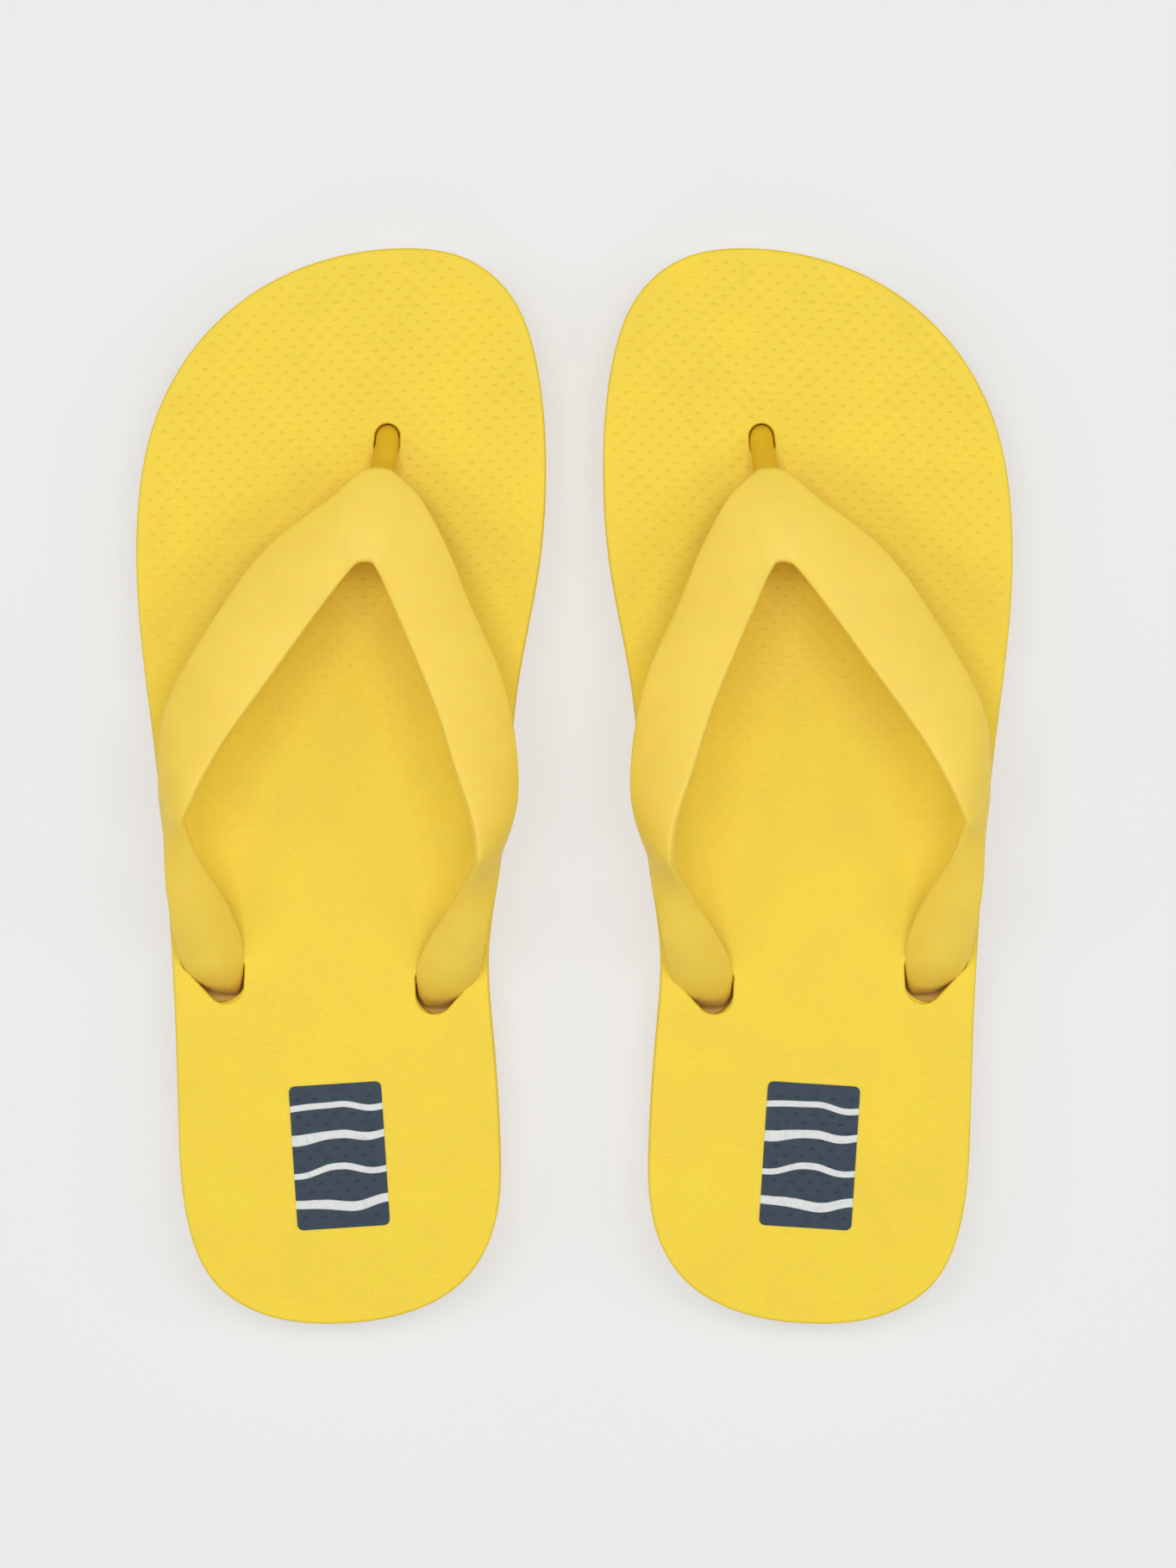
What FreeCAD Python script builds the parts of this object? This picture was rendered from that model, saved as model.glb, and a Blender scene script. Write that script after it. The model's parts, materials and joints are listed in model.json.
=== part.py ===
import FreeCAD, Part
import math
import os

# A pair of thong sandals, left and right, side by side. All sizes are in millimetres.
# +X runs from the left shoe to the right one, +Y to the toes and +Z up. The origin is on
# the ground, midway between the shoes and midway along them.
# The shapes are drawn once, for the left shoe. The right shoe is its mirror image.

Vector = FreeCAD.Vector

# Driving sizes of the sole
SOLE_LENGTH = 270.0
SOLE_WIDTH = 102.8
SHOE_GAP = 14.4            # between the two soles where they come closest
FOOTBED_THICK = 3.0
MIDSOLE_THICK = 9.5
OUTSOLE_THICK = 3.5
FOOTBED_EDGE_ROUND = 1.2
OUTSOLE_EDGE_ROUND = 1.0
FLEX_LINE = 40.0           # ahead of the sole's middle, under the ball of the foot

# Strap, toe post and what anchors them
STRAP_THICK = 2.8
TOE_POST_RADIUS = 2.9
TOE_POST_UPRIGHT = 3.0     # how far the post stands up straight before it leans back
TOE_POST_LEAN = 52.0       # degrees back from upright
POST_CLEARANCE = 0.2       # all round the post in its hole
POST_TO_STRAP_GAP = 0.8
LEG_NECK_RADIUS = 4.6
NECK_CLEARANCE = 0.6
LEG_MOUTH_FLARE = 2.4      # the footbed's leg holes are this much wider than the neck, all round
TOE_PLUG_RADIUS = 8.0
LEG_PLUG_RADIUS = 9.0
PLUG_CLEARANCE = 0.4
PLUG_SET_IN = 0.4          # the plugs stay this far above the ground

# Printed film on the heel
LABEL_WIDTH = 23.2
LABEL_LENGTH = 36.2
LABEL_THICK = 0.3
LABEL_CORNER = 1.5
LABEL_TO_HEEL = 24.1       # from the film's end to the heel's end
LABEL_TURN = 3.7           # degrees, anticlockwise on the left shoe
LABEL_SIDE = -0.4          # from the sole's middle line, positive towards the other shoe

SOLE_THICK = FOOTBED_THICK + MIDSOLE_THICK + OUTSOLE_THICK
SHOE_CENTRE_X = -(SOLE_WIDTH + SHOE_GAP) / 2

# Outline of the left sole, seen from above, from the toe tip round by the outer side.
# It is drawn for one size and graded to SOLE_LENGTH and SOLE_WIDTH, as is the strap.
OUTLINE = [
    (15.5, 135.0), (-3.0, 132.4), (-20.5, 124.8), (-36.5, 110.5), (-46.5, 92.5), (-51.2, 66.0),
    (-50.3, 38.0), (-46.9, 10.0), (-43.9, -21.0), (-41.9, -52.0), (-40.8, -84.0), (-38.6, -109.0),
    (-31.5, -125.0), (-18.5, -133.0), (-1.0, -135.0), (17.5, -132.0), (31.0, -124.0), (38.3, -111.0),
    (39.9, -93.0), (38.0, -62.0), (36.9, -42.0), (39.8, -20.0), (44.5, 27.0), (49.6, 55.0),
    (51.3, 82.0), (49.0, 106.5), (42.0, 124.0), (31.0, 132.6),
]
TOE_HOLE = (11.6, 87.9)
OUTER_LEG_HOLE = (-30.3, -48.0)
INNER_LEG_HOLE = (24.9, -51.4)

# The strap's two arms as pairs of edge points: front edge, then rear edge. Each point is
# across the shoe, along it, and its height above the footbed.
STRAP_TIP = [(10.4, 79.3, 13.0), (6.7, 55.8, 19.0)]
OUTER_ARM = [
    [(-4.5, 71.0, 14.5), (0.0, 48.5, 21.0)],
    [(-17.5, 60.5, 16.0), (-8.0, 38.5, 23.5)],
    [(-29.0, 45.5, 17.5), (-17.2, 25.5, 26.0)],
    [(-38.0, 31.0, 18.5), (-26.0, 11.0, 28.5)],
    [(-43.6, 16.0, 19.0), (-33.6, -1.0, 30.0)],
    [(-45.6, 0.0, 18.5), (-38.3, -10.0, 30.0)],
    [(-45.0, -13.0, 17.0), (-34.8, -18.0, 22.5)],
    [(-43.8, -25.0, 14.0), (-29.4, -27.5, 12.5)],
    [(-41.6, -36.0, 9.5), (-25.0, -36.5, 5.5)],
]
INNER_ARM = [
    [(20.0, 70.5, 14.5), (11.0, 48.5, 21.0)],
    [(27.5, 58.5, 16.0), (15.6, 39.5, 23.5)],
    [(33.5, 45.0, 17.5), (20.4, 29.0, 26.0)],
    [(39.5, 31.5, 18.5), (25.4, 17.0, 28.5)],
    [(43.6, 17.0, 19.5), (29.8, 4.5, 30.5)],
    [(45.2, 2.0, 19.5), (33.4, -8.0, 31.5)],
    [(42.8, -12.0, 18.0), (34.9, -19.5, 30.5)],
    [(40.2, -24.0, 15.5), (29.6, -28.0, 21.0)],
    [(38.0, -35.0, 11.5), (23.6, -36.5, 10.5)],
]
# How a leg dives into its hole, from the hole's centre: outwards and along in neck radii,
# and up from the footbed's top in footbed thicknesses.
LEG_END = [
    [(1.85, 1.2, 2.1), (-1.15, 1.3, 1.4)],
    [(1.05, 0.35, 0.2), (-0.95, 0.45, -0.1)],
    [(0.72, 0.0, -1.5), (-0.72, 0.05, -1.6)],
]


def closed_curve(points):
    curve = Part.BSplineCurve()
    curve.interpolate(Points=[Vector(x, y, 0) for x, y in points], PeriodicFlag=True)
    return curve


DRAWN_BOX = closed_curve(OUTLINE).toShape().optimalBoundingBox(False, False)
GRADE_X = SOLE_WIDTH / DRAWN_BOX.XLength
GRADE_Y = SOLE_LENGTH / DRAWN_BOX.YLength


def place(across, along, height=0.0):
    """A drawn point of the left shoe, graded and put where the shoe lies."""
    x = SHOE_CENTRE_X + (across - DRAWN_BOX.Center.x) * GRADE_X
    y = (along - DRAWN_BOX.Center.y) * GRADE_Y
    return Vector(x, y, height)


def disc(centre, radius, bottom, top):
    return Part.makeCylinder(radius, top - bottom, Vector(centre.x, centre.y, bottom))


def slab(bottom, top):
    """The whole sole's outline between two heights."""
    curve = Part.BSplineCurve()
    curve.interpolate(Points=[place(x, y, bottom) for x, y in OUTLINE], PeriodicFlag=True)
    face = Part.Face(Part.Wire(curve.toShape()))
    return face.extrude(Vector(0, 0, top - bottom))


def round_rim(solid, height, radius):
    """Rounds the outer edge that lies at this height."""
    rims = [e for e in solid.Edges if abs(e.BoundBox.ZMin - height) < 0.01 and e.BoundBox.ZLength < 0.01]
    return solid.makeFillet(radius, rims)


def split_at_flex(solid):
    """The piece ahead of the flex line and the piece behind it."""
    reach = SOLE_LENGTH
    front_space = Part.makeBox(2 * reach, reach, 2 * reach, Vector(-2 * reach, FLEX_LINE, -reach))
    return solid.common(front_space), solid.cut(front_space)


def edge_sections(pairs, side):
    """Four-cornered sections of an arm from its pairs of top edge points."""
    middles = [(front + rear) * 0.5 for front, rear in pairs]
    wires = []
    for k, (front, rear) in enumerate(pairs):
        if k == 0:
            level = Vector(front.y - rear.y, rear.x - front.x, 0)
            normal = level.cross(front - rear)
        else:
            ahead = middles[min(k + 1, len(pairs) - 1)] - middles[k - 1]
            normal = ahead.cross(front - rear) * side
        normal = normal.normalize()
        corners = [front, rear, rear - normal * STRAP_THICK, front - normal * STRAP_THICK]
        wires.append(Part.makePolygon(corners + [front]))
    return wires


def strap_arm(arm, hole, side):
    """One arm and its leg. side is 1 on the inner side of the foot and -1 on the outer side."""
    pairs = [[place(x, y, SOLE_THICK + z) for x, y, z in pair] for pair in [STRAP_TIP] + arm]
    mouth = place(*hole) + Vector(0, -STRAP_THICK / 2, SOLE_THICK)
    for pair in LEG_END:
        steps = [(x * side * LEG_NECK_RADIUS, y * LEG_NECK_RADIUS, z * FOOTBED_THICK) for x, y, z in pair]
        pairs.append([mouth + Vector(*step) for step in steps])
    return Part.makeLoft(edge_sections(pairs, side), True, False)


def strap():
    outer = strap_arm(OUTER_ARM, OUTER_LEG_HOLE, -1)
    inner = strap_arm(INNER_ARM, INNER_LEG_HOLE, 1)
    body = outer.fuse(inner)
    neck_top = SOLE_THICK - FOOTBED_THICK
    for hole in (OUTER_LEG_HOLE, INNER_LEG_HOLE):
        body = body.fuse(disc(place(*hole), LEG_NECK_RADIUS, OUTSOLE_THICK, neck_top))
    return body.removeSplitter()


def toe_post():
    """An upright stem through the sole that leans back to meet the strap's underside."""
    foot = place(*TOE_HOLE)
    elbow = Vector(foot.x, foot.y, SOLE_THICK + TOE_POST_UPRIGHT)
    stem = disc(foot, TOE_POST_RADIUS, OUTSOLE_THICK, elbow.z)
    knee = Part.makeSphere(TOE_POST_RADIUS, elbow)
    front, rear = [place(x, y, SOLE_THICK + z) for x, y, z in STRAP_TIP]
    towards = Vector(front.x - foot.x, front.y - foot.y, 0).normalize()
    lean = math.radians(TOE_POST_LEAN)
    direction = towards * math.sin(lean) + Vector(0, 0, math.cos(lean))
    stalk = Part.makeCylinder(TOE_POST_RADIUS, SOLE_LENGTH / 10, elbow, direction)
    # Everything above the strap's underside, less the gap, is trimmed off
    slope = rear - front
    level = Vector(slope.y, -slope.x, 0).normalize()
    up = slope.cross(level).normalize()
    if up.z < 0:
        up = up * -1
    seat = front - up * (STRAP_THICK + POST_TO_STRAP_GAP)
    trim = Part.makeBox(SOLE_LENGTH, SOLE_LENGTH, SOLE_LENGTH, Vector(-SOLE_LENGTH / 2, -SOLE_LENGTH / 2, 0))
    trim.Placement = FreeCAD.Placement(seat, FreeCAD.Rotation(Vector(0, 0, 1), up)).multiply(trim.Placement)
    return stem.fuse([knee, stalk]).cut(trim).removeSplitter()


def label():
    """A thin film with rounded corners, lying on the footbed over the heel."""
    low = Vector(-LABEL_WIDTH / 2, -LABEL_LENGTH / 2, 0)
    film = Part.makeBox(LABEL_WIDTH, LABEL_LENGTH, LABEL_THICK, low)
    film = film.makeFillet(LABEL_CORNER, [e for e in film.Edges if e.BoundBox.ZLength > LABEL_THICK / 2])
    film.rotate(Vector(0, 0, 0), Vector(0, 0, 1), LABEL_TURN)
    middle_y = -SOLE_LENGTH / 2 + LABEL_TO_HEEL + LABEL_LENGTH / 2
    film.translate(Vector(SHOE_CENTRE_X + LABEL_SIDE, middle_y, SOLE_THICK))
    return film


def left_shoe():
    outsole_top = OUTSOLE_THICK
    midsole_top = outsole_top + MIDSOLE_THICK
    toe = place(*TOE_HOLE)
    legs = {"outer": place(*OUTER_LEG_HOLE), "inner": place(*INNER_LEG_HOLE)}

    outsole = round_rim(slab(0, outsole_top), 0, OUTSOLE_EDGE_ROUND)
    midsole = slab(outsole_top, midsole_top)
    footbed = round_rim(slab(midsole_top, SOLE_THICK), SOLE_THICK, FOOTBED_EDGE_ROUND)

    outsole = outsole.cut(disc(toe, TOE_PLUG_RADIUS + PLUG_CLEARANCE, 0, outsole_top))
    stem_hole = disc(toe, TOE_POST_RADIUS + POST_CLEARANCE, outsole_top, SOLE_THICK)
    midsole = midsole.cut(stem_hole)
    footbed = footbed.cut(stem_hole)
    for hole in legs.values():
        outsole = outsole.cut(disc(hole, LEG_PLUG_RADIUS + PLUG_CLEARANCE, 0, outsole_top))
        midsole = midsole.cut(disc(hole, LEG_NECK_RADIUS + NECK_CLEARANCE, outsole_top, midsole_top))
        footbed = footbed.cut(disc(hole, LEG_NECK_RADIUS + LEG_MOUTH_FLARE, midsole_top, SOLE_THICK))

    nodes = {}
    for name, layer in (("outsole", outsole), ("midsole", midsole), ("footbed", footbed)):
        nodes[name + "_front"], nodes[name + "_rear"] = split_at_flex(layer)
    nodes["toe_plug"] = disc(toe, TOE_PLUG_RADIUS, PLUG_SET_IN, outsole_top)
    for name, hole in legs.items():
        nodes[name + "_plug"] = disc(hole, LEG_PLUG_RADIUS, PLUG_SET_IN, outsole_top)
    nodes["toe_post"] = toe_post()
    nodes["strap"] = strap()
    nodes["heel_label"] = label()
    return nodes


os.makedirs("parts", exist_ok=True)
for node, shape in left_shoe().items():
    shape.exportStep("parts/left_" + node + ".step")
    shape.mirror(Vector(0, 0, 0), Vector(1, 0, 0)).exportStep("parts/right_" + node + ".step")
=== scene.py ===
import json
import math

import bmesh
import bpy
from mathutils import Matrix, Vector


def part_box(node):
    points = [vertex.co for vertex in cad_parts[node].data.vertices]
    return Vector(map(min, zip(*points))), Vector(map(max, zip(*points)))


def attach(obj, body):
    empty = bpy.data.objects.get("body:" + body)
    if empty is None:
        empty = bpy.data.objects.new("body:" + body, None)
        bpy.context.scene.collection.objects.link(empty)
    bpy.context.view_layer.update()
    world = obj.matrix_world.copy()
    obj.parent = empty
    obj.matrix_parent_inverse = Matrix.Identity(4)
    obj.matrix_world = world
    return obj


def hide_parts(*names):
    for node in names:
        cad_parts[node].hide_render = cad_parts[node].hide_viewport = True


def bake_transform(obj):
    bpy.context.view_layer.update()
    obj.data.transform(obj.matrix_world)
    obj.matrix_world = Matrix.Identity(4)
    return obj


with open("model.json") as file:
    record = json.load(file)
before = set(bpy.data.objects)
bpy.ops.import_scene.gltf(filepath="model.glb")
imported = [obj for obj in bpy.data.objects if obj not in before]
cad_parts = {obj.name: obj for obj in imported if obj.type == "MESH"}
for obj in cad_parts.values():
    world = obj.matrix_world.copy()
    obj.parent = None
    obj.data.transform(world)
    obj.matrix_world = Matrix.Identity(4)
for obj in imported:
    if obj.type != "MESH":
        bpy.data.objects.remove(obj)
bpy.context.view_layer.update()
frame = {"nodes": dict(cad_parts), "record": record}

# ------------------------------------------------------------------ camera
# The pair is seen from straight above, toes up, through a long lens far away,
# so that the edges hardly lean outwards.
MM = 0.001
footbed_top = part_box("left_footbed_rear")[1].z
CAMERA_HEIGHT = 1.9
VIEW_HEIGHT = 0.3935
SENSOR = 36.0

bpy.ops.object.camera_add(location=(3.4 * MM, 0.5 * MM, footbed_top + CAMERA_HEIGHT))
camera = bpy.context.object
camera.data.sensor_width = SENSOR
camera.data.lens = SENSOR * CAMERA_HEIGHT / VIEW_HEIGHT
camera.data.clip_end = 20
bpy.context.scene.camera = camera

# ------------------------------------------------------------------ studio
# A plain pale table that glows a little, a pale room, three soft lights above
# and three lower ones round the pair, so that shadows stay narrow and faint.
view = bpy.context.scene.view_settings
view.view_transform = "Standard"


def soft_light(name, place, size, energy):
    """A square soft light that looks at the middle of the pair."""
    bpy.ops.object.light_add(type="AREA", location=place)
    light = bpy.context.object
    light.name = name
    light.data.size = size
    light.data.energy = energy
    light.rotation_euler = (-Vector(place)).to_track_quat("-Z", "Y").to_euler()


soft_light("light_above", (0.0, 0.20, 2.5), 0.9, 11.5)
soft_light("light_above_left", (-0.80, 0.45, 2.3), 0.8, 13.5)
soft_light("light_above_right", (0.80, 0.45, 2.3), 0.8, 13.5)
soft_light("light_left", (-1.9, 0.0, 1.6), 1.2, 12)
soft_light("light_right", (1.9, 0.0, 1.6), 1.2, 12)
soft_light("light_heels", (0.0, -1.9, 1.7), 1.2, 7)

world = bpy.data.worlds.new("pale_room")
world.use_nodes = True
world.node_tree.nodes["Background"].inputs["Color"].default_value = (1.0, 1.0, 1.0, 1)
world.node_tree.nodes["Background"].inputs["Strength"].default_value = 0.14
bpy.context.scene.world = world

bpy.ops.mesh.primitive_plane_add(size=8)
table_top = bpy.context.object
table_top.name = "table_top"
table_paint = bpy.data.materials.new("pale_table")
table_paint.use_nodes = True
paint = table_paint.node_tree.nodes["Principled BSDF"]
paint.inputs["Base Color"].default_value = (0.30, 0.30, 0.30, 1)
paint.inputs["Emission Color"].default_value = (1.0, 1.0, 1.0, 1)
paint.inputs["Emission Strength"].default_value = 0.53
paint.inputs["Roughness"].default_value = 0.9
paint.inputs["Specular IOR Level"].default_value = 0.1
table_top.data.materials.append(table_paint)

# ----------------------------------------------------------------- midsole
# The thick middle layer of the sole: closed-cell foam rubber, stamped out of a
# sheet with a die together with the layers above and below it. Three holes go
# through it for the thong and the two strap legs.
SEAM_ROUND = 0.3 * MM
HOLE_REACH = 8.5 * MM  # everything of a hole through the CAD layer is within this
BEND_STEPS = 26
flex_y = frame["record"]["behaviour"]["joints"][0]["pos_m"][1]
bend_start_y, bend_end_y = flex_y, 77 * MM
sole_halves = [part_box(f"left_midsole_{half}") for half in ("rear", "front")]
shoe_x = (min(low.x for low, _ in sole_halves) + max(high.x for _, high in sole_halves)) / 2
plug_middle = {
    plug: (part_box(f"left_{plug}")[0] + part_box(f"left_{plug}")[1]) / 2
    for plug in ("toe_plug", "outer_plug", "inner_plug")
}


def only(piece):
    """Makes piece the one selected and active object."""
    bpy.ops.object.select_all(action="DESELECT")
    piece.select_set(True)
    bpy.context.view_layer.objects.active = piece


def edit(piece):
    """Opens piece for editing with nothing selected."""
    only(piece)
    bpy.ops.object.mode_set(mode="EDIT")
    bpy.ops.mesh.select_mode(type="VERT")
    bpy.ops.mesh.select_all(action="DESELECT")
    return bmesh.from_edit_mesh(piece.data)


def edit_all(piece):
    """Opens piece for editing with everything selected."""
    mesh = edit(piece)
    bpy.ops.mesh.select_all(action="SELECT")
    return mesh


def done():
    """Closes the piece that is open for editing."""
    bpy.ops.object.mode_set(mode="OBJECT")


def pick(mesh, kind, test):
    """Selects the verts, edges or faces of an open mesh that pass the test."""
    bpy.ops.mesh.select_mode(type={"verts": "VERT", "edges": "EDGE", "faces": "FACE"}[kind])
    bpy.ops.mesh.select_all(action="DESELECT")
    for part in getattr(mesh, kind):
        if test(part):
            part.select_set(True)
    mesh.select_flush_mode()


def apply(piece, kind, **settings):
    """Adds a modifier with these settings and applies it."""
    only(piece)
    modifier = piece.modifiers.new(kind.lower(), kind)
    for name, value in settings.items():
        setattr(modifier, name, value)
    bpy.ops.object.modifier_apply(modifier=modifier.name)


def die_cut(name, low, high):
    """A left sole layer from height low to high: the plan is the outer wall's
    foot of the CAD midsole, filled and raised."""
    copies = []
    for node in ("left_midsole_rear", "left_midsole_front"):
        copy = bpy.data.objects.new(name, frame["nodes"][node].data.copy())
        bpy.context.collection.objects.link(copy)
        copies.append(copy)
    only(copies[0])
    copies[1].select_set(True)
    bpy.ops.object.join()
    layer = copies[0]
    layer.name = layer.data.name = name
    layer.data.materials.clear()
    mesh = edit_all(layer)
    bpy.ops.mesh.remove_doubles(threshold=2e-6)
    foot = min(v.co.z for v in mesh.verts)
    tiny = 1e-5

    def inside(face):
        middle = face.calc_center_median()
        at_cut = abs(middle.y - flex_y) < tiny and abs(face.normal.y) > 0.99
        in_hole = any(
            (middle - plug).xy.length < HOLE_REACH for plug in plug_middle.values()
        )
        return abs(face.normal.z) > 0.3 or at_cut or in_hole

    pick(mesh, "faces", inside)
    bpy.ops.mesh.delete(type="FACE")
    pick(mesh, "verts", lambda v: v.co.z > foot + tiny)
    bpy.ops.mesh.delete(type="VERT")
    pick(mesh, "verts", lambda v: not v.link_edges)
    bpy.ops.mesh.delete(type="VERT")
    bpy.ops.mesh.select_all(action="SELECT")
    bpy.ops.mesh.remove_doubles(threshold=1e-5)
    bpy.ops.transform.translate(value=(0, 0, low - foot))
    bpy.ops.mesh.edge_face_add()
    bpy.ops.mesh.extrude_region_move(
        TRANSFORM_OT_translate={"value": (0, 0, high - low)}
    )
    bpy.ops.mesh.select_all(action="SELECT")
    bpy.ops.mesh.normals_make_consistent(inside=False)
    done()
    return layer


def round_rim(layer, height, radius, segments):
    """Rounds a layer's rims at this height."""
    mesh = edit(layer)
    pick(
        mesh,
        "edges",
        lambda e: all(abs(v.co.z - height) < 1e-5 for v in e.verts)
        and any(abs(f.normal.z) < 0.3 for f in e.link_faces),
    )
    bpy.ops.mesh.bevel(offset=radius, segments=segments, affect="EDGES")
    done()


def punch(layer, cutter):
    """Takes the cutter's shape out of the layer and removes the cutter."""
    apply(layer, "BOOLEAN", operation="DIFFERENCE", solver="EXACT", object=cutter)
    bpy.data.objects.remove(cutter)


def hole_pin(centre, radius, low, high):
    """An upright round bar, to cut a hole with or to add."""
    bpy.ops.mesh.primitive_cylinder_add(
        vertices=48,
        radius=radius,
        depth=high - low,
        location=(centre.x, centre.y, (low + high) / 2),
    )
    pin = bpy.context.object
    bpy.ops.object.transform_apply(location=True, rotation=True, scale=True)
    return pin


def cut_for_bending(layer):
    """Rings of edges across the ball of the foot, where the sole flexes."""
    for n in range(BEND_STEPS + 1):
        edit_all(layer)
        y = bend_start_y + (bend_end_y - bend_start_y) * n / BEND_STEPS
        bpy.ops.mesh.bisect(plane_co=(0, y, 0), plane_no=(0, 1, 0))
        done()


def twin_of(piece):
    """The right shoe's copy of a left piece: its own mesh, turned over across
    the plane between the shoes."""
    only(piece)
    bpy.ops.object.duplicate()
    twin = bpy.context.object
    twin.name = twin.data.name = piece.name.replace("left", "right")
    edit_all(twin)
    bpy.ops.transform.resize(value=(-1, 1, 1), center_override=(0, 0, 0))
    bpy.ops.mesh.normals_make_consistent(inside=False)
    done()
    return twin


def smooth(piece, degrees=38, weighted=True):
    """Smooth faces up to this angle; broad faces keep their own direction."""
    only(piece)
    bpy.ops.object.shade_smooth_by_angle(angle=math.radians(degrees))
    if weighted:
        apply(piece, "WEIGHTED_NORMAL", mode="FACE_AREA", weight=60, keep_sharp=True)


def bends(piece):
    """Bakes the piece's placement into its own mesh."""
    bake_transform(piece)


def shader(name, colour, roughness, specular=0.4):
    """A new material: its nodes, its links and its main shader."""
    material = bpy.data.materials.new(name)
    material.use_nodes = True
    tree = material.node_tree
    main = tree.nodes["Principled BSDF"]
    main.inputs["Base Color"].default_value = (*colour, 1)
    main.inputs["Roughness"].default_value = roughness
    main.inputs["Specular IOR Level"].default_value = specular
    return material, tree, main


def noise(tree, scale, detail=4, rough=0.55, stretch=(1, 1, 1)):
    """A noise that stays with the piece."""
    place = tree.nodes.new("ShaderNodeTexCoord")
    mapping = tree.nodes.new("ShaderNodeMapping")
    mapping.inputs["Scale"].default_value = stretch
    texture = tree.nodes.new("ShaderNodeTexNoise")
    texture.inputs["Scale"].default_value = scale
    texture.inputs["Detail"].default_value = detail
    texture.inputs["Roughness"].default_value = rough
    tree.links.new(place.outputs["Object"], mapping.inputs["Vector"])
    tree.links.new(mapping.outputs["Vector"], texture.inputs["Vector"])
    return texture.outputs["Fac"]


def ramp(tree, source, stops):
    """Colours along a value from 0 to 1."""
    node = tree.nodes.new("ShaderNodeValToRGB")
    while len(node.color_ramp.elements) < len(stops):
        node.color_ramp.elements.new(0.5)
    for element, (at, colour) in zip(node.color_ramp.elements, stops):
        element.position = at
        element.color = (*colour, 1)
    tree.links.new(source, node.inputs["Fac"])
    return node.outputs["Color"]


def vary(tree, source, low, high):
    """Turns a noise into a number between low and high."""
    node = tree.nodes.new("ShaderNodeMapRange")
    node.inputs["From Min"].default_value = 0.3
    node.inputs["From Max"].default_value = 0.7
    node.inputs["To Min"].default_value = low
    node.inputs["To Max"].default_value = high
    tree.links.new(source, node.inputs["Value"])
    return node.outputs["Result"]


def relief(tree, main, *layers):
    """Stacks bumps: each layer is a height source, a depth and a strength."""
    before = None
    for source, depth, strength in layers:
        bump = tree.nodes.new("ShaderNodeBump")
        bump.inputs["Distance"].default_value = depth
        bump.inputs["Strength"].default_value = strength
        tree.links.new(source, bump.inputs["Height"])
        if before:
            tree.links.new(before, bump.inputs["Normal"])
        before = bump.outputs["Normal"]
    tree.links.new(before, main.inputs["Normal"])


def multiply(tree, first, second, amount):
    """The first colour multiplied by the second."""
    node = tree.nodes.new("ShaderNodeMix")
    node.data_type = "RGBA"
    node.blend_type = "MULTIPLY"
    node.inputs["Factor"].default_value = amount
    tree.links.new(first, node.inputs["A"])
    tree.links.new(second, node.inputs["B"])
    return node.outputs["Result"]


def pores(tree, scale):
    """Cell walls and pores of cut foam."""
    place = tree.nodes.new("ShaderNodeTexCoord")
    cells = tree.nodes.new("ShaderNodeTexVoronoi")
    cells.inputs["Scale"].default_value = scale
    tree.links.new(place.outputs["Object"], cells.inputs["Vector"])
    return cells.outputs["Distance"]


midsole_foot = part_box("left_midsole_rear")[0].z
midsole_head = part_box("left_midsole_rear")[1].z
left_midsole = die_cut("left_midsole", midsole_foot, midsole_head)
for height in (midsole_foot, midsole_head):
    round_rim(left_midsole, height, SEAM_ROUND, 2)
for plug, radius in (("toe_plug", 3.0), ("outer_plug", 6.4), ("inner_plug", 6.4)):
    punch(
        left_midsole,
        hole_pin(
            plug_middle[plug], radius * MM, midsole_foot - 2 * MM, midsole_head + 2 * MM
        ),
    )
cut_for_bending(left_midsole)

foam, tree, main = shader("midsole_foam", (0.86, 0.59, 0.013), 0.72, 0.8)
mottle = noise(tree, 90, 6)
cells = pores(tree, 1500)
tone = ramp(tree, mottle, [(0.3, (0.83, 0.56, 0.010)), (0.7, (0.88, 0.62, 0.016))])
shade = ramp(tree, cells, [(0.0, (0.82, 0.78, 0.72)), (0.35, (1.0, 1.0, 1.0))])
tree.links.new(multiply(tree, tone, shade, 0.8), main.inputs["Base Color"])
tree.links.new(vary(tree, mottle, 0.62, 0.82), main.inputs["Roughness"])
streaks = noise(tree, 400, 4, stretch=(1, 1, 0.15))
relief(tree, main, (cells, 0.00025, 0.6), (streaks, 0.00015, 0.5))

for side, piece in (("left", left_midsole), ("right", twin_of(left_midsole))):
    piece.data.materials.append(foam)
    smooth(piece)
    bends(piece)
    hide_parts(f"{side}_midsole_rear", f"{side}_midsole_front")

# ----------------------------------------------------------------- outsole
# The thin bottom layer: harder rubber with a moulded zigzag tread inside a plain
# border, cemented under the midsole. Three wells in it take the plugs.
TREAD_PITCH = 6.4 * MM
TREAD_WIDTH = 2.2 * MM
TREAD_DEPTH = 0.9 * MM
TREAD_ACROSS = 140 * MM  # a groove, before the border trims it
TREAD_STEP = 10 * MM  # from one corner of a groove to the next
TREAD_ZIG = 2.6 * MM
TREAD_GROOVES = 41
TREAD_PLAIN = 12.5 * MM  # no tread within this of a plug's middle
TREAD_SHARE = (0.87, 0.95, 1)  # of the outline's width and length
WELL_REACH = 9.6 * MM
outsole_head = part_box("left_outsole_rear")[1].z

left_outsole = die_cut("left_outsole", 0.0, outsole_head)
round_rim(left_outsole, 0.0, 1.0 * MM, 3)
round_rim(left_outsole, outsole_head, SEAM_ROUND, 2)

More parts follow.
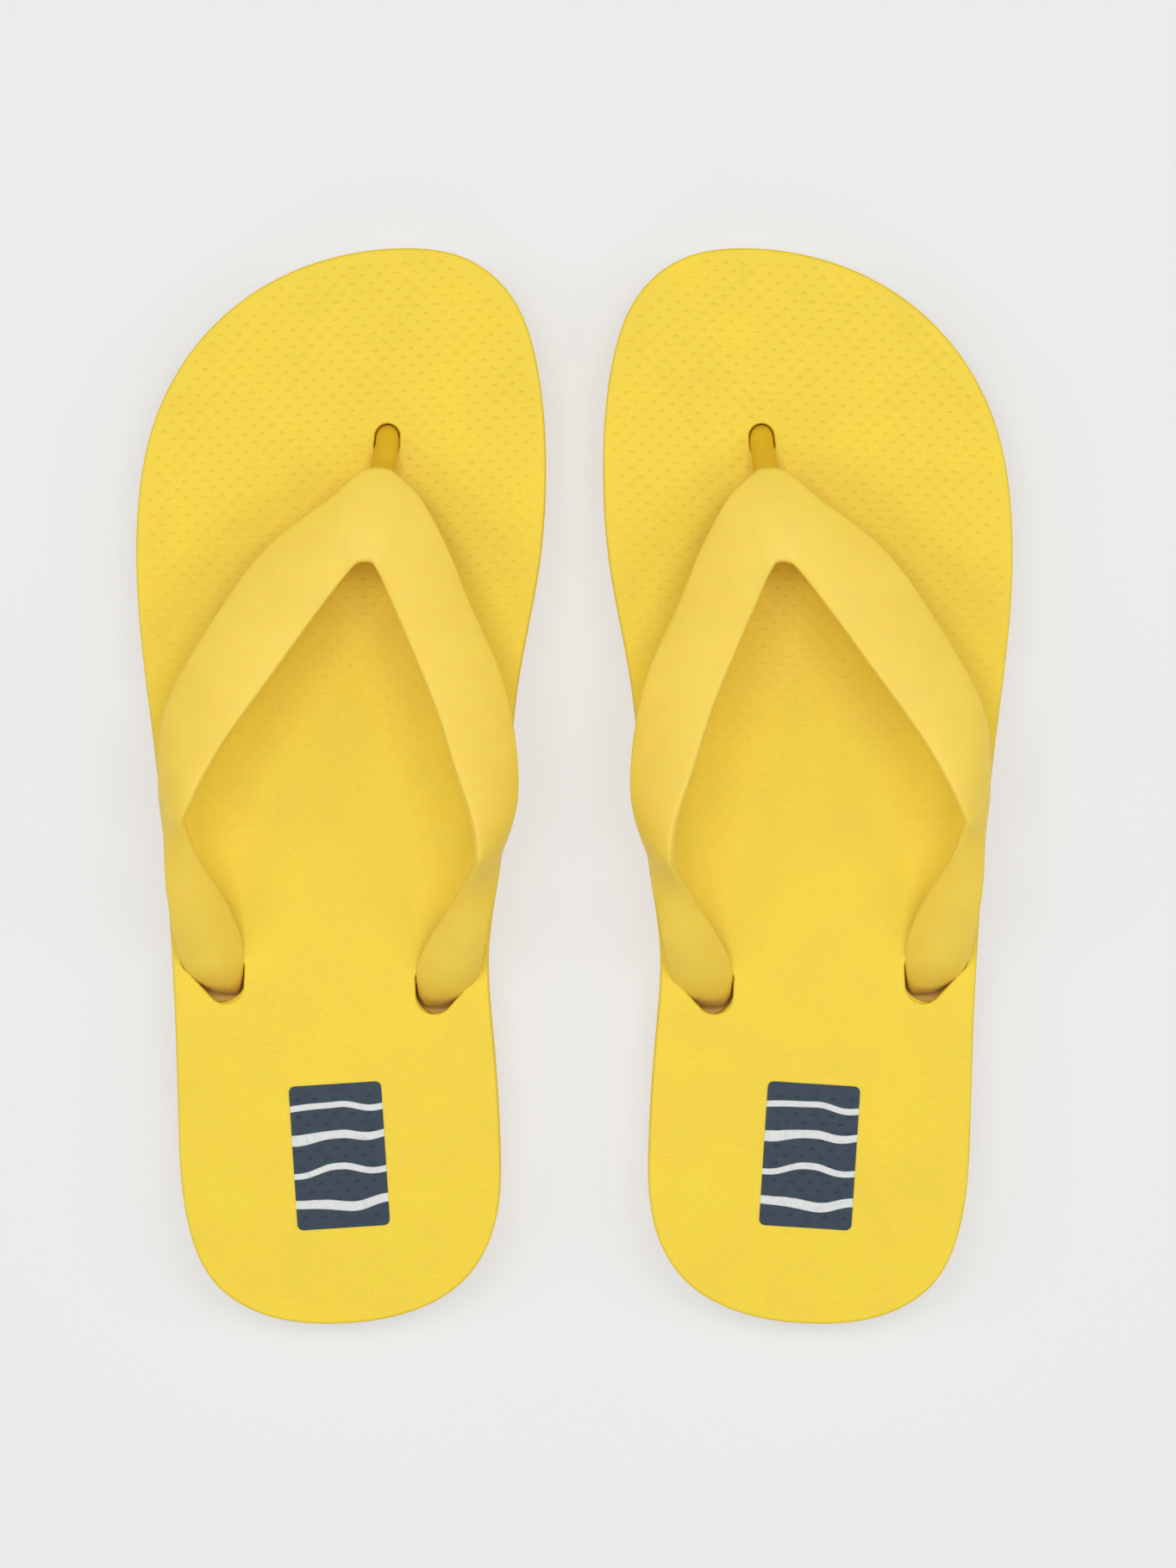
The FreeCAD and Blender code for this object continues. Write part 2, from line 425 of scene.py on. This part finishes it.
bpy.ops.mesh.primitive_cube_add(size=1, location=(shoe_x, 0, 0))
tread = bpy.context.object
tread.scale = (TREAD_ACROSS, TREAD_WIDTH, 2 * TREAD_DEPTH)
bpy.ops.object.transform_apply(location=True, rotation=True, scale=True)
mesh = edit(tread)
pick(mesh, "edges", lambda e: abs(e.verts[0].co.x - e.verts[1].co.x) > 0.05)
steps = round(TREAD_ACROSS / TREAD_STEP)
bpy.ops.mesh.subdivide(number_cuts=steps - 1)
for n in range(0, steps + 1, 2):
    zig_x = shoe_x - TREAD_ACROSS / 2 + n * TREAD_STEP
    pick(mesh, "verts", lambda v: abs(v.co.x - zig_x) < 1e-4)
    bpy.ops.transform.translate(value=(0, TREAD_ZIG, 0))
done()


def repeat(piece, count, step):
    """Lays out this many copies of the piece, a step apart, as one mesh."""
    apply(
        piece,
        "ARRAY",
        count=count,
        use_relative_offset=False,
        use_constant_offset=True,
        constant_offset_displace=step,
    )


repeat(tread, TREAD_GROOVES, (0, TREAD_PITCH, 0))
edit_all(tread)
bpy.ops.transform.translate(value=(0, -(TREAD_GROOVES // 2) * TREAD_PITCH, 0))
done()
border = die_cut("tread_border", -0.01, 0.01)
edit_all(border)
bpy.ops.transform.resize(value=TREAD_SHARE, center_override=(shoe_x, 0, 0))
done()
apply(tread, "BOOLEAN", operation="INTERSECT", solver="EXACT", object=border)
bpy.data.objects.remove(border)
for plug in plug_middle.values():
    punch(tread, hole_pin(plug, TREAD_PLAIN, -0.02, 0.02))
punch(left_outsole, tread)
for plug, well in (("toe_plug", 8.4), ("outer_plug", 9.4), ("inner_plug", 9.4)):
    punch(
        left_outsole,
        hole_pin(plug_middle[plug], well * MM, -2 * MM, outsole_head + 2 * MM),
    )
mesh = edit(left_outsole)
pick(
    mesh,
    "edges",
    lambda e: all(v.co.z < 1e-5 for v in e.verts)
    and any(
        (e.verts[0].co - plug).xy.length < WELL_REACH for plug in plug_middle.values()
    )
    and any(abs(f.normal.z) < 0.3 for f in e.link_faces),
)
bpy.ops.mesh.bevel(offset=0.5 * MM, segments=2, affect="EDGES")
done()
cut_for_bending(left_outsole)

tread_rubber, tree, main = shader("outsole_rubber", (0.80, 0.52, 0.06), 0.55)
mottle = noise(tree, 60, 6)
grit = noise(tree, 1800, 3)
tone = ramp(tree, mottle, [(0.3, (0.76, 0.49, 0.05)), (0.7, (0.85, 0.575, 0.07))])
shade = ramp(tree, grit, [(0.35, (0.90, 0.88, 0.85)), (0.6, (1.0, 1.0, 1.0))])
tree.links.new(multiply(tree, tone, shade, 0.7), main.inputs["Base Color"])
tree.links.new(vary(tree, mottle, 0.45, 0.68), main.inputs["Roughness"])
relief(tree, main, (grit, 0.0001, 0.5))

for side, piece in (("left", left_outsole), ("right", twin_of(left_outsole))):
    piece.data.materials.append(tread_rubber)
    smooth(piece)
    bends(piece)
    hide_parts(f"{side}_outsole_rear", f"{side}_outsole_front")

# ----------------------------------------------------------------- footbed
# The top layer that the foot stands on: foam rubber with a soft rounded rim,
# cemented to the midsole. The leg holes are stretched into teardrops by the
# legs that are pulled through them, and their lips are rolled in.
RIM_ROUND = 0.7 * MM
LIP_ROUND = 0.6 * MM
MOUTHS = {
    # the leg's own hole, the hollow the leg presses in front of it, and the
    # rim beside it: across and along from the plug's middle, and the radius
    "outer_plug": [(1.2, -1.9, 4.7), (-6.0, 4.2, 3.6), (3.7, 2.5, 2.4)],
    "inner_plug": [(-1.5, -1.2, 4.7), (5.2, 4.5, 3.6), (-4.0, 2.8, 2.4)],
}
TOE_MOUTH = [(0, 0, 3.1), (-0.2, -2.2, 3.1)]  # drawn out to the heel by the stem
footbed_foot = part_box("left_footbed_rear")[0].z

left_footbed = die_cut("left_footbed", footbed_foot, footbed_top)
round_rim(left_footbed, footbed_top, RIM_ROUND, 5)
round_rim(left_footbed, footbed_foot, SEAM_ROUND, 2)


def stretched_hole(layer, plug, rounds):
    """Cuts one hole, drawn round several rounds, through the layer."""
    pins = []
    for across, along, radius in rounds:
        centre = plug_middle[plug] + Vector((across, along, 0)) * MM
        pins.append(
            hole_pin(centre, radius * MM, footbed_foot - 2 * MM, footbed_top + 2 * MM)
        )
    only(pins[0])
    for pin in pins:
        pin.select_set(True)
    bpy.ops.object.join()
    edit_all(pins[0])
    bpy.ops.mesh.convex_hull()
    done()
    punch(layer, pins[0])


for plug, rounds in MOUTHS.items():
    stretched_hole(left_footbed, plug, rounds)
stretched_hole(left_footbed, "toe_plug", TOE_MOUTH)
round_rim(left_footbed, footbed_top, LIP_ROUND, 4)  # the holes' lips
cut_for_bending(left_footbed)

footbed_foam, tree, main = shader("footbed_foam", (0.90, 0.66, 0.040), 0.52, 0.4)
mottle = noise(tree, 55, 5)
grit = noise(tree, 2600, 3)
tone = ramp(tree, mottle, [(0.3, (0.85, 0.61, 0.026)), (0.7, (0.90, 0.66, 0.036))])
shade = ramp(tree, grit, [(0.35, (0.93, 0.92, 0.90)), (0.6, (1.0, 1.0, 1.0))])
tree.links.new(multiply(tree, tone, shade, 0.6), main.inputs["Base Color"])
tree.links.new(vary(tree, mottle, 0.48, 0.58), main.inputs["Roughness"])
relief(tree, main, (grit, 0.00006, 0.5))

for side, piece in (("left", left_footbed), ("right", twin_of(left_footbed))):
    piece.data.materials.append(footbed_foam)
    smooth(piece)
    bends(piece)
    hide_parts(f"{side}_footbed_rear", f"{side}_footbed_front")

# ----------------------------------------------------------- footbed grain
# Rows of small raised grains, like rice, pressed into the footbed's skin by the
# mould. They are high under the toes and nearly worn flat from the arch back.
GRAIN_LENGTH = 3.5 * MM
GRAIN_WIDTH = 1.6 * MM
GRAIN_HEIGHT = 0.12 * MM
GRAIN_PITCH = 4.5 * MM
GRAIN_ROW = 2.12 * MM
GRAIN_TURN = math.radians(3.7)
GRAIN_MARGIN = 2.6 * MM
GRAIN_SHOULDER = (0.72, 0.66, 1)  # of the foot's length and width
GRAIN_CROWN = (0.5, 0.36, 1)  # of the shoulder's
GRAIN_DROOP = 0.45 * MM
GRAINS_ACROSS, GRAINS_ALONG = 26, 66
TOE_CLEAR = 5.2 * MM
MOUTH_CLEAR = 2.6
LABEL_CLEAR = 0.8 * MM
LABEL_BORDER = 1.6 * MM
FADE_START, FADE_END = 95 * MM, -20 * MM
HEEL_FADE = 0.30
LABEL_ACROSS = 23.2 * MM
LABEL_ALONG = 36.2 * MM
SUNK = 0.05 * MM

bpy.ops.mesh.primitive_cylinder_add(vertices=8, radius=0.5, depth=1)
grain = bpy.context.object
grain.name = "left_footbed_grain"
grain.scale = (GRAIN_LENGTH, GRAIN_WIDTH, SUNK + 0.5 * GRAIN_HEIGHT)
bpy.ops.object.transform_apply(location=True, rotation=True, scale=True)
mesh = edit(grain)
pick(mesh, "verts", lambda v: v.co.z > 0)
bpy.ops.transform.resize(value=GRAIN_SHOULDER, center_override=(0, 0, 0))
pick(mesh, "faces", lambda f: f.normal.z > 0.9)
bpy.ops.mesh.extrude_region_move(
    TRANSFORM_OT_translate={"value": (0, 0, 0.5 * GRAIN_HEIGHT)}
)
bpy.ops.transform.resize(value=GRAIN_CROWN, center_override=(0, 0, 0))
foot = min(v.co.z for v in mesh.verts)
for v in mesh.verts:  # the ends of each grain droop towards the heel
    v.co.y -= GRAIN_DROOP * (2 * v.co.x / GRAIN_LENGTH) ** 2
    v.co.z += footbed_top - SUNK - foot
done()
repeat(grain, 2, (GRAIN_PITCH / 2, GRAIN_ROW, 0))
repeat(grain, GRAINS_ACROSS, (GRAIN_PITCH, 0, 0))
repeat(grain, GRAINS_ALONG, (0, 2 * GRAIN_ROW, 0))
edit_all(grain)
bpy.ops.transform.translate(
    value=(shoe_x - GRAINS_ACROSS / 2 * GRAIN_PITCH, -GRAINS_ALONG * GRAIN_ROW, 0)
)
done()
grain.rotation_euler.z = GRAIN_TURN
only(grain)
bpy.ops.object.transform_apply(location=True, rotation=True, scale=True)

outline = die_cut("grain_limit", footbed_top, footbed_top + 1 * MM)
rim = sorted(
    (v.co.xy.copy() for v in outline.data.vertices if v.co.z < footbed_top + 1e-5),
    key=lambda point: math.atan2(point.y, point.x - shoe_x),
)
bpy.data.objects.remove(outline)
limit = []
for before, here, after in zip(rim[-1:] + rim[:-1], rim, rim[1:] + rim[:1]):
    along = (after - before).normalized()
    limit.append(here + Vector((-along.y, along.x)) * GRAIN_MARGIN)


def within(point):
    """Whether the point is inside the loop that the grains stop at."""
    found = False
    for a, b in zip(limit, limit[1:] + limit[:1]):
        if (a.y > point.y) != (b.y > point.y):
            if point.x < a.x + (point.y - a.y) / (b.y - a.y) * (b.x - a.x):
                found = not found
    return found


def on_a_mouth(point):
    """Whether the point is over a hole or its lip."""
    if (point - plug_middle["toe_plug"].xy).length < TOE_CLEAR:
        return True
    for plug, rounds in MOUTHS.items():
        for across, along, radius in rounds:
            centre = plug_middle[plug].xy + Vector((across, along)) * MM
            if (point - centre).length < (radius + MOUTH_CLEAR) * MM:
                return True
    return False


label_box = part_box("left_heel_label")
label_middle = (label_box[0] + label_box[1]) / 2


def on_label(point, spare):
    """Whether the point is on the heel label or within spare of its edge."""
    away = point - label_middle.xy
    c, s = math.cos(-GRAIN_TURN), math.sin(-GRAIN_TURN)
    x, y = c * away.x - s * away.y, s * away.x + c * away.y
    return abs(x) < LABEL_ACROSS / 2 + spare and abs(y) < LABEL_ALONG / 2 + spare


def thin_out(piece, keep):
    """Drops the grains that fail the test and lowers the rest to the heel."""
    mesh = bmesh.new()
    mesh.from_mesh(piece.data)
    seen = set()
    doomed = []
    for vert in mesh.verts:
        if vert in seen:
            continue
        island, front = {vert}, [vert]
        while front:
            for edge in front.pop().link_edges:
                for other in edge.verts:
                    if other not in island:
                        island.add(other)
                        front.append(other)
        seen |= island
        middle = sum((v.co for v in island), Vector()) / len(island)
        if not keep(middle.xy):
            doomed += island
            continue
        t = min(max((middle.y - FADE_END) / (FADE_START - FADE_END), 0), 1)
        height = HEEL_FADE + (1 - HEEL_FADE) * t * t * (3 - 2 * t)
        for v in island:
            if v.co.z > footbed_top:
                v.co.z = footbed_top + (v.co.z - footbed_top) * height
    bmesh.ops.delete(mesh, geom=doomed, context="VERTS")
    mesh.to_mesh(piece.data)
    mesh.free()


only(grain)
bpy.ops.object.duplicate()
label_grain = bpy.context.object
label_grain.name = label_grain.data.name = "left_heel_print_grain"
thin_out(
    grain,
    lambda p: within(p) and not on_a_mouth(p) and not on_label(p, LABEL_CLEAR),
)
thin_out(label_grain, lambda p: on_label(p, -LABEL_BORDER))

for side, piece in (("left", grain), ("right", twin_of(grain))):
    piece.data.materials.append(footbed_foam)
    smooth(piece, 180, weighted=False)
    bends(piece)

# ------------------------------------------------------------------- strap
# One moulded V of soft rubber: two flat arms from the lip over the thong, each
# narrowing at a corner beside the instep and turning into a leg that is pulled
# down through its hole. Its face is slightly crowned and its rims are rounded.
STRAP_THICK = 2.8 * MM
STRAP_RIM = 0.9 * MM
NECK_RADIUS = 4.4 * MM
NECK_TOP = footbed_top - 9.6 * MM
# front rim and rear rim of the face, left shoe: across and along from the shoe's
# middle, height over the footbed, and last how far the face bulges between them
FACE = [
    ((-31.6, -52.4, -11.0), (-26.2, -52.6, -11.0), 0.0),
    ((-32.4, -51.9, -8.0), (-25.7, -52.0, -8.4), 0.3),
    ((-34.6, -50.6, -4.4), (-24.9, -50.2, -5.2), 0.9),
    ((-38.2, -47.8, -0.9), (-24.2, -47.0, -2.2), 2.2),
    ((-40.6, -43.8, 1.8), (-23.9, -42.8, 0.4), 3.3),
    ((-42.0, -38.0, 5.8), (-24.5, -38.0, 3.0), 3.2),
    ((-42.8, -32.0, 10.4), (-26.7, -31.8, 7.4), 2.6),
    ((-43.6, -25.0, 14.2), (-30.2, -25.2, 13.0), 1.8),
    ((-43.9, -17.5, 16.8), (-34.9, -18.0, 19.2), 1.2),
    ((-44.1, -12.0, 17.8), (-37.5, -12.2, 23.6), 0.9),
    ((-44.6, -7.0, 18.4), (-38.8, -9.4, 26.0), 0.8),
    ((-45.2, 0.0, 18.8), (-38.0, -6.6, 27.4), 0.8),
    ((-44.3, 16.0, 19.4), (-35.2, -1.0, 28.4), 0.9),
    ((-38.0, 31.0, 18.9), (-28.2, 11.0, 27.0), 1.0),
    ((-29.0, 45.5, 17.9), (-17.9, 25.5, 24.8), 1.0),
    ((-17.5, 60.5, 16.4), (-8.2, 38.9, 22.4), 1.0),
    ((-4.0, 71.0, 14.7), (0.0, 49.9, 19.8), 1.0),
    ((2.9, 77.0, 13.4), (2.9, 53.5, 18.6), 1.0),
    ((6.6, 79.4, 13.0), (4.5, 55.3, 18.3), 1.0),
    ((10.2, 79.7, 12.9), (6.4, 55.8, 18.2), 1.0),
    ((13.4, 78.9, 13.0), (8.3, 55.3, 18.3), 1.0),
    ((17.3, 75.6, 13.5), (9.7, 53.0, 18.6), 1.0),
    ((21.2, 71.0, 14.7), (11.5, 49.2, 19.8), 1.0),
    ((27.8, 58.5, 16.4), (15.8, 39.5, 22.4), 1.0),
    ((33.3, 45.0, 17.9), (20.4, 29.0, 24.8), 1.0),
    ((39.5, 31.5, 18.9), (25.2, 17.0, 27.0), 1.0),
    ((43.6, 17.0, 19.8), (29.2, 4.5, 28.8), 0.9),
    ((45.2, 2.0, 19.8), (33.6, -8.0, 29.6), 0.8),
    ((44.3, -7.0, 19.2), (35.1, -16.0, 29.0), 0.8),
    ((42.2, -13.5, 18.0), (35.1, -19.6, 27.6), 0.8),
    ((40.0, -20.0, 16.6), (33.2, -22.6, 24.0), 1.0),
    ((38.6, -28.0, 14.4), (28.6, -28.4, 16.8), 1.8),
    ((37.5, -35.5, 11.4), (23.6, -35.6, 9.0), 2.6),
    ((36.4, -41.6, 7.0), (20.1, -41.4, 3.8), 3.2),
    ((35.0, -46.8, 2.4), (18.5, -46.2, 0.6), 3.3),
    ((32.4, -51.2, -0.9), (18.6, -50.2, -2.2), 2.2),
    ((29.2, -53.8, -4.4), (19.2, -53.2, -5.2), 0.9),
    ((27.0, -55.2, -8.0), (20.3, -55.1, -8.4), 0.3),
    ((26.2, -55.8, -11.0), (20.8, -55.7, -11.0), 0.0),
]


def through(points):
    """Control points whose smooth curve passes through these points."""
    controls = [Vector(p) for p in points]
    for _ in range(12):
        for n in range(1, len(points) - 1):
            reached = (controls[n - 1] + 4 * controls[n] + controls[n + 1]) / 6
            controls[n] += Vector(points[n]) - reached
    return controls


fronts = through([front for front, rear, bulge in FACE])
rears = through([rear for front, rear, bulge in FACE])


def from_shoe(point):
    """A point of the left shoe, from its own millimetres."""
    return Vector((shoe_x + point.x * MM, point.y * MM, footbed_top + point.z * MM))


bpy.ops.mesh.primitive_grid_add(
    x_subdivisions=len(FACE) - 1, y_subdivisions=4, size=2
)
strap = bpy.context.object
strap.name = strap.data.name = "left_strap_v"
mesh = edit(strap)
for v in mesh.verts:  # along the strap in x, from the rear rim to the front in y
    station = round((v.co.x + 1) / 2 * (len(FACE) - 1))
    rearwards = (1 - v.co.y) / 2
    front, rear = from_shoe(fronts[station]), from_shoe(rears[station])
    v.co = front.lerp(rear, rearwards)
bmesh.update_edit_mesh(strap.data)
mesh.normal_update()
lifts = []
for v in mesh.verts:
    for front, rear, (_, _, bulge) in zip(fronts, rears, FACE):
        a, b = from_shoe(front), from_shoe(rear)
        t = (v.co - a).dot(b - a) / (b - a).length_squared
        if 0.01 < t < 0.99 and (v.co - a.lerp(b, t)).length < 1e-7:
            lifts.append((v, v.normal * bulge * MM * (1 - (2 * t - 1) ** 2)))
for v, lift in lifts:
    v.co += lift
done()
apply(strap, "SOLIDIFY", thickness=STRAP_THICK, offset=-1, use_even_offset=True)
apply(
    strap,
    "BEVEL",
    width=STRAP_RIM,
    segments=2,
    limit_method="ANGLE",
    angle_limit=math.radians(50),
)
apply(strap, "SUBSURF", levels=3, render_levels=3)
for plug in ("outer_plug", "inner_plug"):
    neck = hole_pin(plug_middle[plug], NECK_RADIUS, outsole_head, NECK_TOP)
    apply(strap, "BOOLEAN", operation="UNION", solver="EXACT", object=neck)
    bpy.data.objects.remove(neck)

strap_rubber, tree, main = shader("strap_rubber", (0.90, 0.65, 0.066), 0.55, 0.6)
mottle = noise(tree, 38, 4)
cloud = noise(tree, 140, 3)
tone = ramp(tree, mottle, [(0.3, (0.88, 0.63, 0.062)), (0.7, (0.92, 0.67, 0.078))])
shade = ramp(tree, cloud, [(0.3, (0.965, 0.955, 0.94)), (0.65, (1.0, 1.0, 1.0))])
tree.links.new(multiply(tree, tone, shade, 0.8), main.inputs["Base Color"])
tree.links.new(vary(tree, cloud, 0.50, 0.60), main.inputs["Roughness"])
main.inputs["Subsurface Weight"].default_value = 0.25
main.inputs["Subsurface Radius"].default_value = (1.0, 0.55, 0.12)
main.inputs["Subsurface Scale"].default_value = 1.6 * MM
main.inputs["Sheen Weight"].default_value = 0.15
main.inputs["Sheen Roughness"].default_value = 0.4
relief(tree, main, (noise(tree, 700, 3), 0.00004, 0.4), (cloud, 0.0003, 0.25))

for side, piece in (("left", strap), ("right", twin_of(strap))):
    piece.data.materials.append(strap_rubber)
    smooth(piece, 50)
    bends(piece)
    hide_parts(f"{side}_strap")

# ------------------------------------------------------------------- thong
# The round stem between the toes, moulded with the strap. It rises from the toe
# plug, leans back as it leaves the hole and swells into the lip's underside.
STEM_RADIUS = 2.9 * MM
STEM_LEAN = math.radians(-55)
STEM_BEND_START = footbed_top - 3.2 * MM
STEM_HEAD = footbed_top + 11.6 * MM
STEM_BEND_RADIUS = 5.0 * MM
STEM_SIDEWAYS = -0.13
# past the bend, ring by ring: the next ring's distance in mm and how it swells
STEM_RINGS = ((3.0, 1.02), (3.0, 1.03), (2.6, 1.03), (2.9, 1.10))
STEM_FLARE = (1.1, 1.3, 0)  # the last ring, laid flat inside the lip

toe_hole = plug_middle["toe_plug"]
bpy.ops.mesh.primitive_cylinder_add(
    vertices=32,
    radius=STEM_RADIUS,
    depth=STEM_BEND_START - outsole_head,
    location=(toe_hole.x, toe_hole.y, (STEM_BEND_START + outsole_head) / 2),
)
thong = bpy.context.object
thong.name = thong.data.name = "left_thong"
bpy.ops.object.transform_apply(location=True, rotation=True, scale=True)
mesh = edit(thong)
pick(mesh, "faces", lambda f: f.normal.z > 0.9)
bpy.ops.mesh.spin(
    steps=10,
    angle=STEM_LEAN,
    center=(toe_hole.x, toe_hole.y - STEM_BEND_RADIUS, STEM_BEND_START),
    axis=(1, 0, 0),
)
mesh = bmesh.from_edit_mesh(thong.data)
lean = Vector((STEM_SIDEWAYS, math.sin(STEM_LEAN), math.cos(STEM_LEAN)))
for length, swell in STEM_RINGS:
    bpy.ops.mesh.extrude_region_move(
        TRANSFORM_OT_translate={"value": tuple(lean * length * MM)}
    )
    end = [v for v in mesh.verts if v.select]
    middle = sum((v.co for v in end), Vector()) / len(end)
    bpy.ops.transform.resize(value=(swell,) * 3, center_override=tuple(middle))
bpy.ops.transform.resize(
    value=STEM_FLARE, center_override=(middle.x, middle.y, STEM_HEAD)
)
bpy.ops.mesh.select_all(action="SELECT")
bpy.ops.mesh.remove_doubles(threshold=1e-6)
bpy.ops.mesh.normals_make_consistent(inside=False)
done()
apply(
    thong,
    "BEVEL",
    width=0.3 * MM,
    segments=2,
    limit_method="ANGLE",
    angle_limit=math.radians(60),
)

# The stem is the strap's own rubber, but its colour here is darker and oranger than the
# strap's: painted shade of its place under the lip and down in the toe hole.
thong_shaded_rubber, tree, main = shader("thong_shaded_rubber", (0.80, 0.49, 0.012), 0.42, 0.6)
cloud = noise(tree, 160, 3)
tone = ramp(tree, cloud, [(0.3, (0.77, 0.46, 0.009)), (0.7, (0.83, 0.52, 0.015))])
tree.links.new(tone, main.inputs["Base Color"])
tree.links.new(vary(tree, cloud, 0.38, 0.50), main.inputs["Roughness"])
main.inputs["Subsurface Weight"].default_value = 0.2
main.inputs["Subsurface Radius"].default_value = (1.0, 0.5, 0.1)
main.inputs["Subsurface Scale"].default_value = 1.4 * MM
relief(tree, main, (noise(tree, 800, 3), 0.00004, 0.4))

for side, piece in (("left", thong), ("right", twin_of(thong))):
    piece.data.materials.append(thong_shaded_rubber)
    smooth(piece)
    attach(piece, f"{side}_forefoot")
    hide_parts(f"{side}_toe_post")

# ------------------------------------------------------------------- plugs
# Three flat buttons under each sole, moulded on the ends of the thong and the
# legs. They sit in the outsole's wells and hold the strap from below.
def plug_button(name, radius):
    """A plug's disc: a rounded foot with rings pressed into its face."""
    low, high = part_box(name)
    bpy.ops.mesh.primitive_cylinder_add(
        vertices=64,
        radius=radius,
        depth=high.z - low.z,
        location=((low.x + high.x) / 2, (low.y + high.y) / 2, (low.z + high.z) / 2),
    )
    button = bpy.context.object
    button.name = button.data.name = f"{name}_button"
    bpy.ops.object.transform_apply(location=True, rotation=True, scale=True)
    mesh = edit(button)
    pick(mesh, "edges", lambda e: all(v.co.z < low.z + 1e-6 for v in e.verts))
    bpy.ops.mesh.bevel(offset=0.6 * MM, segments=3, affect="EDGES")
    pick(mesh, "faces", lambda f: f.normal.z < -0.99)
    # each ring: how much of the radius is left plain, the slope's width, its depth
    for plain, width, depth in ((0.22, 0.35, -0.45), (0.12, 0.35, 0.35), (0.36, 0.25, 0.2)):
        bpy.ops.mesh.inset(thickness=plain * radius)
        bpy.ops.mesh.inset(thickness=width * MM, depth=depth * MM)
    done()
    return button


plug_rubber, tree, main = shader("plug_rubber", (0.80, 0.52, 0.06), 0.46, 0.5)
cloud = noise(tree, 120, 3)
tone = ramp(tree, cloud, [(0.3, (0.76, 0.48, 0.05)), (0.7, (0.85, 0.56, 0.07))])
tree.links.new(tone, main.inputs["Base Color"])
tree.links.new(vary(tree, cloud, 0.40, 0.55), main.inputs["Roughness"])
relief(tree, main, (noise(tree, 900, 3), 0.00005, 0.5))

for plug, radius, body in (
    ("toe_plug", 8.0, "forefoot"),
    ("outer_plug", 9.0, "rearfoot"),
    ("inner_plug", 9.0, "rearfoot"),
):
    left_button = plug_button(f"left_{plug}", radius * MM)
    for side, piece in (("left", left_button), ("right", twin_of(left_button))):
        piece.data.materials.append(plug_rubber)
        smooth(piece, 32)
        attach(piece, f"{side}_{body}")
        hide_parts(f"{side}_{plug}")

# -------------------------------------------------------------- heel label
# A thin printed film heat-pressed into the heel: dark ground, four pale wave
# lines, nothing else. The footbed's grain still shows through it.
LABEL_CORNER = 1.5 * MM
LABEL_EDGE = 0.12 * MM
label_low, label_high = label_box[0].z, label_box[1].z
FILM_SWELL = 2.6  # the film bridges the grains, so they read stronger through it

bpy.ops.mesh.primitive_cube_add(size=1, location=(0, 0, (label_low + label_high) / 2))
label = bpy.context.object
label.name = label.data.name = "left_heel_print"
label.scale = (LABEL_ACROSS, LABEL_ALONG, label_high - label_low)
bpy.ops.object.transform_apply(location=True, rotation=True, scale=True)
mesh = edit(label)
pick(mesh, "edges", lambda e: abs(e.verts[0].co.z - e.verts[1].co.z) > 1e-5)
bpy.ops.mesh.bevel(offset=LABEL_CORNER, segments=5, affect="EDGES")
pick(mesh, "edges", lambda e: all(v.co.z > label_high - 1e-6 for v in e.verts))
bpy.ops.mesh.bevel(offset=LABEL_EDGE, segments=2, affect="EDGES")
done()
label.rotation_euler.z = GRAIN_TURN
label.location = (label_middle.x, label_middle.y, 0)
only(label)
bpy.ops.object.transform_apply(location=True, rotation=True, scale=True)

film_prints = {}
for side, sign in (("left", 1), ("right", -1)):
    film, tree, main = shader(f"heel_print_film_{side}", (0.02, 0.06, 0.09), 0.4, 0.34)
    place = tree.nodes.new("ShaderNodeTexCoord")
    centre = tree.nodes.new("ShaderNodeMapping")
    centre.vector_type = "TEXTURE"
    centre.inputs["Location"].default_value = (sign * label_middle.x, label_middle.y, 0)
    centre.inputs["Rotation"].default_value = (0, 0, sign * GRAIN_TURN)
    tree.links.new(place.outputs["Object"], centre.inputs["Vector"])
    wave = tree.nodes.new("ShaderNodeTexWave")
    wave.wave_type = "BANDS"
    wave.bands_direction = "Y"
    wave.inputs["Scale"].default_value = 38
    wave.inputs["Distortion"].default_value = 2.2
    wave.inputs["Detail"].default_value = 0
    wave.inputs["Detail Scale"].default_value = 2.2
    tree.links.new(centre.outputs["Vector"], wave.inputs["Vector"])
    ground, line = (0.010, 0.030, 0.055), (0.70, 0.72, 0.70)
    stops = [(0.0, ground), (0.86, ground), (0.9, line)]
    print_colour = ramp(tree, wave.outputs["Fac"], stops)
    wear = ramp(tree, noise(tree, 900, 4), [(0.3, (0.86, 0.86, 0.86)), (0.6, (1, 1, 1))])
    tree.links.new(multiply(tree, print_colour, wear, 0.8), main.inputs["Base Color"])
    tree.links.new(vary(tree, noise(tree, 300, 3), 0.36, 0.48), main.inputs["Roughness"])
    relief(tree, main, (noise(tree, 1500, 3), 0.00004, 0.5))
    film_prints[side] = film

edit_all(label_grain)
bpy.ops.transform.resize(value=(1, 1, FILM_SWELL), center_override=(0, 0, footbed_top))
bpy.ops.transform.translate(value=(0, 0, label_high - footbed_top))
done()
for side, piece in (("left", label_grain), ("right", twin_of(label_grain))):
    piece.data.materials.append(film_prints[side])
    smooth(piece, 180, weighted=False)
    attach(piece, f"{side}_rearfoot")
for side, piece in (("left", label), ("right", twin_of(label))):
    piece.data.materials.append(film_prints[side])
    smooth(piece)
    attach(piece, f"{side}_rearfoot")
    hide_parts(f"{side}_heel_label")
